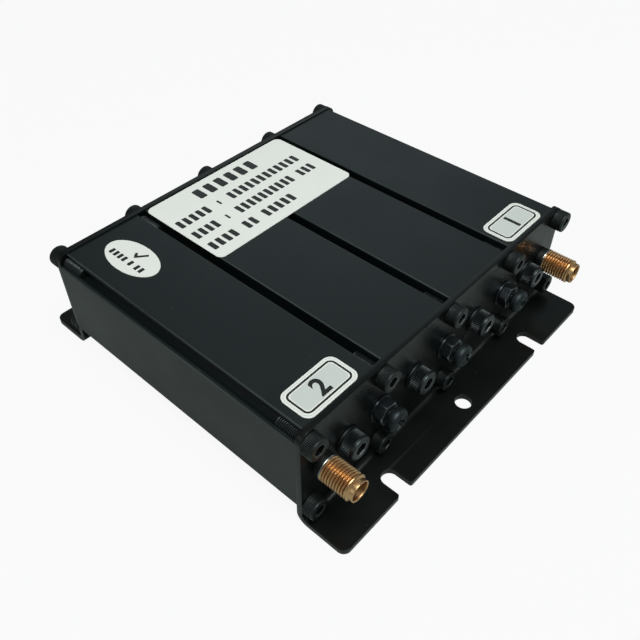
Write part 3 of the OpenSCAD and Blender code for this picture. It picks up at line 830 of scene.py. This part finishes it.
def silver_plate():
    """Silver plate over turned aluminium: pale, bright, with the turning marks around the bar."""
    material, tree = new_material("silver_plate")
    place = add_node(tree, "ShaderNodeTexCoord")
    around = add_node(tree, "ShaderNodeMapping", {"Vector": place.outputs["Object"],
                                                  "Scale": (1 / (9 * MM), 1 / (0.12 * MM), 1 / (9 * MM))})
    marks = add_node(tree, "ShaderNodeTexNoise", {"Vector": around.outputs[0], "Scale": 1.0, "Detail": 2.0})
    tint = add_node(tree, "ShaderNodeMix", {0: marks.outputs[0], 6: srgb("c9c8c2"), 7: srgb("e4e3de")},
                    data_type="RGBA")
    bump = add_node(tree, "ShaderNodeBump", {"Height": marks.outputs[0], "Strength": 0.3,
                                             "Distance": 0.01 * MM})
    shader = add_node(tree, "ShaderNodeBsdfPrincipled",
                      {"Base Color": tint.outputs[2], "Roughness": 0.24, "Metallic": 1.0,
                       "Normal": bump.outputs[0]})
    show_surface(tree, shader)
    return material


silver = silver_plate()
for i in (1, 2, 3, 4):
    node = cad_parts[f"resonator_rod_{i}"]
    node.data.materials.clear()
    node.data.materials.append(silver)


# Coupling screws: three M3 pan head screws with a cross recess, each through a washer and a hex
# lock nut. They are turned to set the coupling between two cavities, then locked by the nut.

def hex_nut(name, across_flats, height, bore_d):
    """A hex nut standing on z = 0, with a 30 degree chamfer on both faces and softened corners."""
    bore = bore_d / 2
    corner = across_flats / 2 / math.cos(math.radians(30))
    face = across_flats / 2 * 0.96
    slope = math.tan(math.radians(32))
    chamfer = (corner - face) * slope
    nut = Turned(name, 96)
    nut.ring(bore, 0.25 * MM).ring(bore + 0.2 * MM, 0)

    def side(z, depth):
        limit = face + depth / slope
        # The corners that the chamfer cuts get a painted highlight.
        nut.ring(lambda a: min(hex_radius(across_flats, a), limit, corner * 0.985), z,
                 painted_light=lambda a: -0.45 if hex_radius(across_flats, a) > limit else 0.0)

    steps = 6
    for i in range(steps + 1):
        side(chamfer * i / steps, chamfer * i / steps)
    for i in range(steps, -1, -1):
        side(height - chamfer * i / steps, chamfer * i / steps)
    nut.ring(bore + 0.2 * MM, height).ring(bore, height - 0.25 * MM)
    return nut.close().made()


def cross_recess(width, wing, depth, top):
    """The shape that a cross point presses: four tapering wings and a pointed middle."""
    bm = bmesh.new()
    rings = []
    half = wing / 2
    root = half * 1.7
    for z, reach, thick in ((top + 0.4 * MM, 1.1, 1.1), (top, 1.0, 1.0), (top - depth, 0.32, 0.6)):
        a = width / 2 * reach
        b = half * thick
        c = root * thick
        outline = []
        for k in range(4):
            turn = Matrix.Rotation(math.radians(90 * k), 2)
            for p in ((a, -b), (a, b), (c, b + 0.15 * c), (b + 0.15 * c, c)):
                outline.append(turn @ Vector(p))
        rings.append([bm.verts.new((p.x, p.y, z)) for p in outline])
    count = len(rings[0])
    for low, high in ((rings[0], rings[1]), (rings[1], rings[2])):
        for i in range(count):
            j = (i + 1) % count
            bm.faces.new((low[i], low[j], high[j], high[i]))
    bm.faces.new(rings[0])
    bm.faces.new(rings[-1])
    bmesh.ops.recalc_face_normals(bm, faces=bm.faces)
    mesh = bpy.data.meshes.new("cross_recess")
    bm.to_mesh(mesh)
    bm.free()
    return link_object("cross_recess", mesh)


def pan_screw(name, head_d, head_h, shank_d, length, pitch):
    head = head_d / 2
    shank = shank_d / 2
    tip = 0.35 * MM
    side_h = 1.05 * MM
    crown = head_h - side_h
    pan = Turned(name + "_head", 96)
    pan.ring(0, 0).ring(head - 0.25 * MM, 0).ring(head - 0.07 * MM, 0.07 * MM).ring(head, 0.25 * MM)
    for step in range(13):
        angle = math.radians(90 * step / 13)
        swell = math.cos(angle) ** 0.5
        pan.ring(head * swell, side_h + crown * math.sin(angle) ** 1.1)
    pan.ring(0, head_h)
    pan = pan.made()
    cut_away(pan, [cross_recess(width=4 * MM, wing=0.95 * MM, depth=1.7 * MM, top=head_h)])
    stem = Turned(name, 32)
    stem.ring(0, -length).ring(shank - tip, -length).ring(shank, tip - length)
    stem.threaded(shank, tip - length, 0, pitch)
    stem.ring(0, 0)
    stem = press_detail(stem.made(), pitch=pitch, depth=0.61 * pitch)
    return merged(name, [stem, pan])


def make_coupling_screws():
    steel = black_oxide("dark_zinc", "272c2e", "383f42", 0.48)
    nut_finish = black_oxide("dark_nut", "31363a", "464c50", 0.32)
    head_h = 2.4 * MM
    pattern = pan_screw("pan_screw", head_d=6 * MM, head_h=head_h, shank_d=3 * MM, length=16 * MM,
                        pitch=0.5 * MM)
    nut = hex_nut("nut", 5.5 * MM, 2.4 * MM, 3.1 * MM)
    disc = washer("washer", 7 * MM, 3.4 * MM, 0.5 * MM, 0.1 * MM)
    seats = []
    recess_turn = [35, 12, 50]
    nut_turn = [20, 30, 12]
    for i in (1, 2, 3):
        x = centre(f"coupling_lock_nut_{i}").x
        seats.append((x, front_face, middle_z))
        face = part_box(f"coupling_screw_{i}")[0].y
        turned = (FRONT[0], 0, 0)
        made = set_row(f"coupling_pan_screw_{i}", spun(pattern, recess_turn[i - 1]),
                       [(x, face + head_h, middle_z)], turned, steel, turn=0.0)
        finish_piece(made, f"coupling_screw_{i}", [f"coupling_screw_{i}"], None)
        seat_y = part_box(f"coupling_lock_nut_{i}")[1].y
        made = set_row(f"coupling_hex_nut_{i}", spun(nut, nut_turn[i - 1]), [(x, seat_y, middle_z)],
                       turned, nut_finish, turn=0.0)
        finish_piece(made, "root", [f"coupling_lock_nut_{i}"], None)
    made = set_row("coupling_flat_washers", disc, seats, FRONT, nut_finish, seed=21)
    finish_piece(made, "root", ["coupling_washers"], None)
    for pattern_piece in (pattern, nut, disc):
        bpy.data.objects.remove(pattern_piece)


def spun(pattern, degrees):
    """The pattern turned about its axis in its own mesh, back from any earlier turn."""
    turn = math.radians(degrees) - pattern.get("turned", 0.0)
    pattern.data.transform(Matrix.Rotation(turn, 4, "Z"))
    pattern["turned"] = math.radians(degrees)
    return pattern


make_coupling_screws()


# Tuning screws: four slotted M4 set screws at the rear, each locked by a hex nut. Each dips into
# the open end of its rod and is turned to set the frequency of its cavity.

def set_screw(name, d, length, pitch, slot_w, slot_depth):
    radius = d / 2
    tip = 0.45 * MM
    screw = Turned(name, 40)
    screw.ring(0, -length).ring(radius - tip, -length).ring(radius, tip - length)
    screw.threaded(radius, tip - length, -tip, pitch)
    screw.ring(radius - tip, 0).ring(0, 0)
    screw = press_detail(screw.made(), pitch=pitch, depth=0.61 * pitch)
    cut_away(screw, [block("slot", (-d, -slot_w / 2, -slot_depth), (d, slot_w / 2, MM))])
    return screw


def make_tuning_screws():
    bright = nickel_plate("bright_nickel", "8f9292", "b9bab3", 0.22)
    nut_finish = black_oxide("rear_nut_finish", "33383a", "464c4e", 0.3)
    nut = hex_nut("nut", 7 * MM, 3.2 * MM, 4.1 * MM)
    low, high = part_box("tuning_screw_1")
    pattern = set_screw("set_screw", high.x - low.x, high.y - low.y, 0.7 * MM, 0.8 * MM, 1.2 * MM)
    for i, x in enumerate(rod_columns, 1):
        made = set_row(f"tuning_set_screw_{i}", pattern, [(x, high.y, middle_z)], REAR, bright, seed=30 + i)
        finish_piece(made, f"tuning_screw_{i}", [f"tuning_screw_{i}"], None)
        made = set_row(f"tuning_hex_nut_{i}", spun(nut, 17 * i), [(x, rear_face, middle_z)], REAR,
                       nut_finish, turn=0.0)
        finish_piece(made, "root", [f"tuning_lock_nut_{i}"], None)
    bpy.data.objects.remove(pattern)
    bpy.data.objects.remove(nut)


make_tuning_screws()


# Connectors: the output and input ports are turned brass barrels, gold plated, pressed through the
# plate on a short spacer. Each holds a white insulator with a split socket for the centre pin.

def gold_plate():
    """Thin gold over brass: orange gold with fine turning marks, darkened to brown in the roots of the
    thread and down the mouth as painted shade, and dull grey where tin has crept over the first turn next to
    the plate."""
    material, tree = new_material("gold_plate")
    place = add_node(tree, "ShaderNodeTexCoord")
    cloud = add_node(tree, "ShaderNodeTexNoise", {"Vector": place.outputs["Object"], "Scale": 1 / (1.6 * MM),
                                                  "Detail": 4.0, "Roughness": 0.6})
    around = add_node(tree, "ShaderNodeMapping", {"Vector": place.outputs["Object"],
                                                  "Scale": (1 / (4 * MM), 1 / (0.09 * MM), 1 / (4 * MM))})
    marks = add_node(tree, "ShaderNodeTexNoise", {"Vector": around.outputs[0], "Scale": 1.0, "Detail": 2.0})
    tint = add_node(tree, "ShaderNodeMix", {0: cloud.outputs[0], 6: srgb("d4a06c"), 7: srgb("e6c293")},
                    data_type="RGBA")
    spot = add_node(tree, "ShaderNodeSeparateXYZ", {0: place.outputs["Object"]})
    painted_light = add_node(tree, "ShaderNodeAttribute", attribute_name="grime_amount")
    # Painted shade: brown where the painted light amount is high, in the thread's roots and down the mouth.
    root = add_node(tree, "ShaderNodeMapRange", {0: painted_light.outputs["Fac"], 1: 0.3, 2: 0.85, 3: 0.0, 4: 0.9})
    root_shaded = add_node(tree, "ShaderNodeMix", {0: root.outputs[0], 6: tint.outputs[2], 7: srgb("57290f")},
                       data_type="RGBA")
    edge = add_node(tree, "ShaderNodeMath", {0: cloud.outputs[0], 1: 0.9 * MM}, operation="MULTIPLY")
    edge = add_node(tree, "ShaderNodeMath", {0: spot.outputs[1], 1: edge.outputs[0]}, operation="ADD")
    tin_start = front_face - 1.75 * MM
    tinned = add_node(tree, "ShaderNodeMapRange", {0: edge.outputs[0], 1: tin_start, 2: tin_start + 0.12 * MM,
                                                   3: 0.0, 4: 1.0})
    plated = add_node(tree, "ShaderNodeMix", {0: tinned.outputs[0], 6: root_shaded.outputs[2],
                                              7: srgb("9b9c97")}, data_type="RGBA")
    gloss = add_node(tree, "ShaderNodeMapRange", {0: cloud.outputs[0], 1: 0.3, 2: 0.7, 3: 0.26, 4: 0.4})
    dull = add_node(tree, "ShaderNodeMath", {0: root.outputs[0], 1: 0.3}, operation="MULTIPLY")
    gloss = add_node(tree, "ShaderNodeMath", {0: gloss.outputs[0], 1: dull.outputs[0]}, operation="ADD")
    bump = add_node(tree, "ShaderNodeBump", {"Height": marks.outputs[0], "Strength": 0.25,
                                             "Distance": 0.01 * MM})
    shader = add_node(tree, "ShaderNodeBsdfPrincipled",
                      {"Base Color": plated.outputs[2], "Roughness": gloss.outputs[0], "Metallic": 1.0,
                       "Normal": bump.outputs[0]})
    show_surface(tree, shader)
    return material


def connector_barrel():
    """The turned body, from the back of its shank to the mouth and down the bore, on z = 0 at the
    plate's outer face."""
    bore = 2.08 * MM
    shank = 2.6 * MM
    outer = 3.175 * MM
    nose = 2.675 * MM
    mouth = 2.3 * MM
    seat = 1.7 * MM
    thread_start = 1.85 * MM
    thread_end = 9.05 * MM
    end = 10.4 * MM
    floor = 8.5 * MM
    back = -1.6 * MM
    edge = 0.12 * MM
    minor = outer - 0.42 * MM
    barrel = Turned("barrel", 64)
    barrel.rings([(bore, back), (shank - edge, back), (shank, back + edge), (shank, seat),
                  (outer - edge, seat), (outer, seat + edge)])
    barrel.threaded(outer, thread_start, thread_end, 0.7056 * MM, per_turn=12)
    barrel.rings([(outer - 0.1 * MM, thread_end + 0.05 * MM), (minor, thread_end + 0.28 * MM),
                  (nose, thread_end + 0.32 * MM), (nose, end - edge)])
    for step in range(1, 4):
        angle = math.radians(90 * step / 3)
        barrel.ring(nose - edge + edge * math.cos(angle), end - edge + edge * math.sin(angle))
    barrel.ring(mouth + edge, end)
    # Painted shade down the mouth and across the floor of the bore.
    barrel.rings([(mouth, end - edge), (mouth, end - 3 * edge)], painted_light=0.5)
    barrel.rings([(mouth, floor), (bore, floor)], painted_light=0.65)
    barrel = barrel.close().made()
    return press_detail(barrel, pitch=0.7056 * MM, depth=0.46 * MM)


def turned_insulator():
    """PTFE, toned a brown tan: waxy and soft looking, with light entering it a little."""
    material, tree = new_material("ptfe_white")
    place = add_node(tree, "ShaderNodeTexCoord")
    cloud = add_node(tree, "ShaderNodeTexNoise", {"Vector": place.outputs["Object"], "Scale": 1 / (0.8 * MM),
                                                  "Detail": 3.0})
    tint = add_node(tree, "ShaderNodeMix", {0: cloud.outputs[0], 6: srgb("a58a5c"), 7: srgb("b89e70")},
                    data_type="RGBA")
    shader = add_node(tree, "ShaderNodeBsdfPrincipled",
                      {"Base Color": tint.outputs[2], "Roughness": 0.5, "IOR": 1.38,
                       "Subsurface Weight": 0.15, "Subsurface Scale": 0.3 * MM})
    show_surface(tree, shader)
    return material


def bare_copper():
    """Drawn copper wire, bare and slightly tarnished: red brown and clouded."""
    material, tree = new_material("bare_copper")
    place = add_node(tree, "ShaderNodeTexCoord")
    cloud = add_node(tree, "ShaderNodeTexNoise", {"Vector": place.outputs["Object"], "Scale": 1 / (1.2 * MM),
                                                  "Detail": 3.0})
    tint = add_node(tree, "ShaderNodeMix", {0: cloud.outputs[0], 6: srgb("a3603f"), 7: srgb("c98a66")},
                    data_type="RGBA")
    gloss = add_node(tree, "ShaderNodeMapRange", {0: cloud.outputs[0], 1: 0.3, 2: 0.7, 3: 0.25, 4: 0.45})
    shader = add_node(tree, "ShaderNodeBsdfPrincipled",
                      {"Base Color": tint.outputs[2], "Roughness": gloss.outputs[0], "Metallic": 1.0})
    show_surface(tree, shader)
    return material


def make_connectors():
    gold = gold_plate()
    copper = bare_copper()
    white = turned_insulator()
    # The spacer's grey tin is toned nearly black, painted shade.
    shaded_tin = nickel_plate("tinned_spacer_shaded", "141615", "383a38", 0.5)
    barrel = connector_barrel()
    for port in ("output", "input"):
        x = centre(f"{port}_connector_body").x
        made = set_row(f"{port}_threaded_barrel", barrel, [(x, front_face, middle_z)], FRONT, gold,
                       turn=0.0)
        finish_piece(made, "root", [f"{port}_connector_body"], None, sharp=50)
        for node, finish in ((f"{port}_insulator", white), (f"{port}_contact", gold),
                             (f"{port}_tap_wire", copper)):
            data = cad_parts[node].data
            data.materials.clear()
            data.materials.append(finish)
    bpy.data.objects.remove(barrel)
    ring = washer("spacer", 5.9 * MM, 5.26 * MM, 1.7 * MM, 0.12 * MM)
    seats = [(centre(f"{port}_connector_body").x, front_face, middle_z) for port in ("output", "input")]
    made = set_row("connector_seat_spacers", ring, seats, FRONT, shaded_tin, seed=41)
    finish_piece(made, "root", ["connector_spacers"], None)
    bpy.data.objects.remove(ring)


make_connectors()


# Labels: printed film stuck on the top panels. The large one carries rows of plain marks in place of
# words, the small ones a port number in a double frame, and the oval one a tick.

def label_film():
    """Matt laminated film: cool white with a faint satin sheen."""
    material, tree = new_material("label_film")
    place = add_node(tree, "ShaderNodeTexCoord")
    cloud = add_node(tree, "ShaderNodeTexNoise", {"Vector": place.outputs["Object"], "Scale": 1 / (6 * MM),
                                                  "Detail": 4.0, "Roughness": 0.6})
    fibre = add_node(tree, "ShaderNodeTexNoise", {"Vector": place.outputs["Object"], "Scale": 1 / (0.2 * MM),
                                                  "Detail": 2.0})
    tint = add_node(tree, "ShaderNodeMix", {0: cloud.outputs[0], 6: srgb("e2e1dc"), 7: srgb("e9e8e4")},
                    data_type="RGBA")
    bump = add_node(tree, "ShaderNodeBump", {"Height": fibre.outputs[0], "Strength": 0.15,
                                             "Distance": 0.01 * MM})
    shader = add_node(tree, "ShaderNodeBsdfPrincipled",
                      {"Base Color": tint.outputs[2], "Roughness": 0.45, "IOR": 1.5,
                       "Normal": bump.outputs[0]})
    show_surface(tree, shader)
    return material


def print_ink(name, dark, light):
    """Thermal print: flat, a little shinier than the film, slightly uneven in its density, so that
    it reads as print on film and not as paint."""
    material, tree = new_material(name)
    place = add_node(tree, "ShaderNodeTexCoord")
    density = add_node(tree, "ShaderNodeTexNoise", {"Vector": place.outputs["Object"],
                                                    "Scale": 1 / (0.3 * MM), "Detail": 3.0})
    tint = add_node(tree, "ShaderNodeMix", {0: density.outputs[0], 6: srgb(dark), 7: srgb(light)},
                    data_type="RGBA")
    shader = add_node(tree, "ShaderNodeBsdfPrincipled",
                      {"Base Color": tint.outputs[2], "Roughness": 0.4, "IOR": 1.5})
    show_surface(tree, shader)
    return material


film = label_film()
ink = print_ink("black_ink", "0e0f0f", "1f2120")
grey_ink = print_ink("grey_ink", "c2c5c1", "cccfcb")
INK_T = 0.02 * MM


def rounded_loop(width, length, radius, steps=8):
    """A rounded rectangle around the origin, as points from its right side round to the left."""
    points = []
    for start, sx, sy in ((0, 1, 1), (90, -1, 1), (180, -1, -1), (270, 1, -1)):
        pivot = Vector((sx * (width / 2 - radius), sy * (length / 2 - radius)))
        for step in range(steps + 1):
            angle = math.radians(start + 90 * step / steps)
            points.append(pivot + radius * Vector((math.cos(angle), math.sin(angle))))
    return points


def oval_loop(width, length, steps=72):
    angles = [2 * math.pi * i / steps for i in range(steps)]
    return [Vector((width / 2 * math.cos(a), length / 2 * math.sin(a))) for a in angles]


def add_slab(bm, outline, place, z0, z1, edge=0.0):
    """A flat slab of the outline's shape, with its upper edge drawn in by edge."""
    size = [max(abs(p[i]) for p in outline) for i in (0, 1)]
    shrink = [1 - edge / s for s in size]
    rows = [(z0, 1, 1), (z1 - edge, 1, 1), (z1, shrink[0], shrink[1])] if edge else [(z0, 1, 1), (z1, 1, 1)]
    rings = [[bm.verts.new((place[0] + p.x * kx, place[1] + p.y * ky, z)) for p in outline]
             for z, kx, ky in rows]
    count = len(outline)
    for low, high in zip(rings, rings[1:]):
        for i in range(count):
            j = (i + 1) % count
            bm.faces.new((low[i], low[j], high[j], high[i]))
    bm.faces.new(list(reversed(rings[0])))
    bm.faces.new(rings[-1])


def add_frame_line(bm, outer, inner, place, z0, z1):
    """A closed line of print between two loops with the same number of points."""
    rings = [[bm.verts.new((place[0] + p.x, place[1] + p.y, z)) for p in loop]
             for z, loop in ((z0, outer), (z1, outer), (z1, inner), (z0, inner))]
    count = len(outer)
    for k in range(4):
        low = rings[k]
        high = rings[(k + 1) % 4]
        for i in range(count):
            j = (i + 1) % count
            bm.faces.new((low[i], low[j], high[j], high[i]))


def mesh_from(bm, name):
    bmesh.ops.recalc_face_normals(bm, faces=bm.faces)
    mesh = bpy.data.meshes.new(name)
    bm.to_mesh(mesh)
    bm.free()
    return link_object(name, mesh)


def add_digit(digit, height, place, z0, z1):
    """A plain numeral as a flat mesh, centred on its place."""
    curve = bpy.data.curves.new("numeral", "FONT")
    curve.body = digit
    curve.size = height
    curve.align_x = "CENTER"
    curve.align_y = "CENTER"
    curve.extrude = (z1 - z0) / 2
    curve.offset = height * 0.03
    letter = link_object("numeral", curve)
    bpy.context.view_layer.update()
    depsgraph = bpy.context.evaluated_depsgraph_get()
    mesh = bpy.data.meshes.new_from_object(letter.evaluated_get(depsgraph))
    bpy.data.objects.remove(letter)
    middle = [(min(v.co[i] for v in mesh.vertices) + max(v.co[i] for v in mesh.vertices)) / 2 for i in (0, 1)]
    mesh.transform(Matrix.Translation((-middle[0], -middle[1], 0)))
    mesh.transform(Matrix.Translation((place[0], place[1], (z0 + z1) / 2)))
    return mesh


def inset_loops(width, length, inset, thick, radius):
    """Both edges of a line of print that runs round a label, inset from its edge, in millimetres."""
    loops = []
    for shrink, round_off in ((inset, radius), (inset + thick, radius - thick)):
        loops.append(rounded_loop(width - 2 * shrink * MM, length - 2 * shrink * MM, round_off * MM))
    return loops


def make_port_label(node, digit):
    low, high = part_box(node)
    width = high.x - low.x
    length = high.y - low.y
    middle = centre(node)
    place = (middle.x, middle.y)
    bm = bmesh.new()
    add_slab(bm, rounded_loop(width, length, 2.1 * MM), place, low.z, high.z, edge=0.04 * MM)
    made = mesh_from(bm, node.replace("label", "port_film"))
    finish_piece(made, "root", [node], film)
    top = high.z
    bm = bmesh.new()
    inset = 1.68 * MM
    field = rounded_loop(width - 2 * inset, length - 2 * inset, 0.95 * MM)
    add_slab(bm, field, place, top, top + INK_T / 2)
    add_frame_line(bm, *inset_loops(width, length, 0.42, 0.16, 1.75), place, top, top + INK_T)
    made = mesh_from(bm, node.replace("label", "port_grey_print"))
    finish_piece(made, "root", [node], grey_ink)
    bm = bmesh.new()
    add_frame_line(bm, *inset_loops(width, length, 0.95, 0.48, 1.5), place, top, top + INK_T)
    numeral = add_digit(digit, 6.4 * MM, place, top, top + INK_T)
    bm.from_mesh(numeral)
    made = mesh_from(bm, node.replace("label", "port_print"))
    finish_piece(made, "root", [node], ink)


def make_main_label():
    node = "main_label"
    low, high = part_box(node)
    width = high.x - low.x
    length = high.y - low.y
    middle = centre(node)
    place = (middle.x, middle.y)
    bm = bmesh.new()
    add_slab(bm, rounded_loop(width, length, 1.8 * MM), place, low.z, high.z, edge=0.04 * MM)
    made = mesh_from(bm, "main_label_film")
    finish_piece(made, "root", [node], film)
    bm = bmesh.new()
    top = high.z
    rows = [(9.8, 4.4, 3.75, (6,), -9.9), (3.0, 3.3, 2.2, (5, 1, 12), -22.2),
            (-3.2, 3.3, 2.1, (4, 1, 10, 3), -22.2), (-9.4, 3.3, 2.3, (4, 2, 5), -22.2)]
    for y, height, step, words, x in rows:
        for word in words:
            for _ in range(word):
                wide = 0.3 * step if word == 1 else 0.62 * step
                mark = rounded_loop(wide * MM, height * MM * (0.6 if word == 1 else 1), 0.2 * wide * MM, 3)
                add_slab(bm, mark, (place[0] + x * MM, place[1] + y * MM), top, top + INK_T)
                x += step
            x += step
    made = mesh_from(bm, "main_label_print")
    finish_piece(made, "root", [node], ink)


def make_oval_sticker():
    node = "inspection_sticker"
    low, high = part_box(node)
    width = high.x - low.x
    length = high.y - low.y
    middle = centre(node)
    place = (middle.x, middle.y)
    bm = bmesh.new()
    add_slab(bm, oval_loop(width, length), place, low.z, high.z, edge=0.04 * MM)
    made = mesh_from(bm, "oval_sticker_film")
    finish_piece(made, "root", [node], film)
    bm = bmesh.new()
    top = high.z
    tick = [Vector((x, y)) * MM for x, y in ((1.6, 1.0), (2.15, 0.45), (1.3, -0.25), (3.4, -2.1),
                                             (2.95, -2.6), (0.2, -0.3))]
    add_slab(bm, tick, place, top, top + INK_T)
    mark = rounded_loop(1.75 * MM, 1.0 * MM, 0.15 * MM, 3)
    y = 5.9
    for word in (4, 1, 2):
        for _ in range(word):
            add_slab(bm, mark, (place[0] - 1.5 * MM, place[1] + y * MM), top, top + INK_T)
            y -= 1.6
        y -= 0.8
    made = mesh_from(bm, "oval_sticker_print")
    finish_piece(made, "root", [node], ink)


make_port_label("output_label", "2")
make_port_label("input_label", "1")
make_main_label()
make_oval_sticker()


scene = bpy.context.scene
scene.view_settings.view_transform = "Standard"
